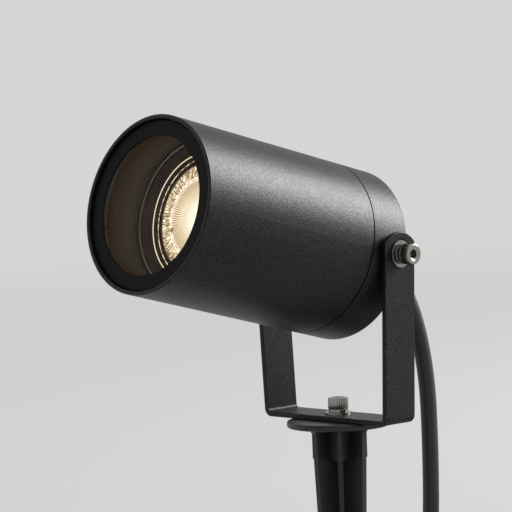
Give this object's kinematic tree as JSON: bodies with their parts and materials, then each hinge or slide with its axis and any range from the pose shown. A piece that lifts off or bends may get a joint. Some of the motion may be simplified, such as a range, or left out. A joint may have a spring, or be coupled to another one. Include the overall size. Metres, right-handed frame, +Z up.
{
  "type": "garden spike spotlight",
  "caption": "Cylindrical outdoor spotlight that tilts in a U-bracket on a ground spike, with a cord and low-voltage plug; the housing tube pulls off for the lamp.",
  "frame": {"origin": "on the ground spike's axis at the ground line", "axes": "+Z up along the spike, beam towards -Y, tilt axis along X"},
  "size_m": [0.0985, 0.2352, 0.2739],
  "materials": {
    "powder_coat": "fine textured powder coat, matt",
    "black_ring": "matt black",
    "stainless": "plain stainless steel, slightly polished",
    "black_plastic": "satin moulded plastic",
    "plug_plastic": "satin moulded plastic",
    "gland_plastic": "satin moulded plastic",
    "cord_rubber": "matt rubber sheath",
    "seal_rubber": "soft rubber",
    "silicone": "soft silicone",
    "clear_glass": "clear tempered glass",
    "lamp_plastic": "dark lamp body",
    "lamp_chrome": "smoked metallised bezel with bright edges",
    "lamp_lens": "clear moulded lens, lit warm white",
    "board_aluminium": "plain",
    "led_chip": "yellow phosphor",
    "ceramic": "fired steatite, matt",
    "zinc_steel": "zinc plated",
    "wire_brown": "silicone wire insulation",
    "wire_blue": "silicone wire insulation",
    "nylon": "black nylon",
    "brass": "plain brass"
  },
  "bodies": {
    "spike": {"spike": "black_plastic", "spike_insert": "brass", "base_screw": "stainless", "base_washer": "stainless", "base_spring_washer": "stainless"},
    "bracket": {"bracket": "powder_coat", "cord_run": "cord_rubber", "cord_coil": "cord_rubber", "cord_tail": "cord_rubber", "plug_grip": "plug_plastic", "plug_core": "plug_plastic", "plug_collar": "plug_plastic", "plug_pins": "brass"},
    "head": {"rear_cap": "powder_coat", "cap_seal": "seal_rubber", "lamp_body": "lamp_plastic", "lamp_bezel": "lamp_chrome", "lamp_lens": "lamp_lens", "lamp_board": "board_aluminium", "lamp_chip": "led_chip", "lamp_pins": "stainless", "lamp_holder": "ceramic", "holder_strap": "zinc_steel", "strap_screws": "stainless", "holder_screws": "stainless", "wire_brown": "wire_brown", "wire_blue": "wire_blue", "pivot_screws": "stainless", "pivot_washers": "stainless", "pivot_spring_washers": "stainless", "pivot_spacers": "nylon", "gland_body": "gland_plastic", "gland_nut": "gland_plastic", "gland_locknut": "gland_plastic", "gland_gasket": "seal_rubber", "gland_seal": "seal_rubber", "cord_entry": "cord_rubber"},
    "tube": {"housing_tube": "powder_coat", "front_ring": "black_ring", "front_glass": "clear_glass", "glass_gasket": "silicone"}
  },
  "joints": [
    {"name": "bracket_swivel", "type": "hinge", "parent": "spike", "child": "bracket", "pos_m": [0, 0, 0.07], "axis": [0, 0, 1], "range_deg": [-90, 90]},
    {"name": "head_tilt", "type": "hinge", "parent": "bracket", "child": "head", "pos_m": [0, 0, 0.12845], "axis": [-1, 0, 0], "range_deg": [-54.3, 75.7], "deforming": ["cord_run"]},
    {"name": "tube_removal", "type": "slide", "parent": "head", "child": "tube", "axis": [0, -0.969, 0.247], "range_m": [0, 0.065]}
  ]
}
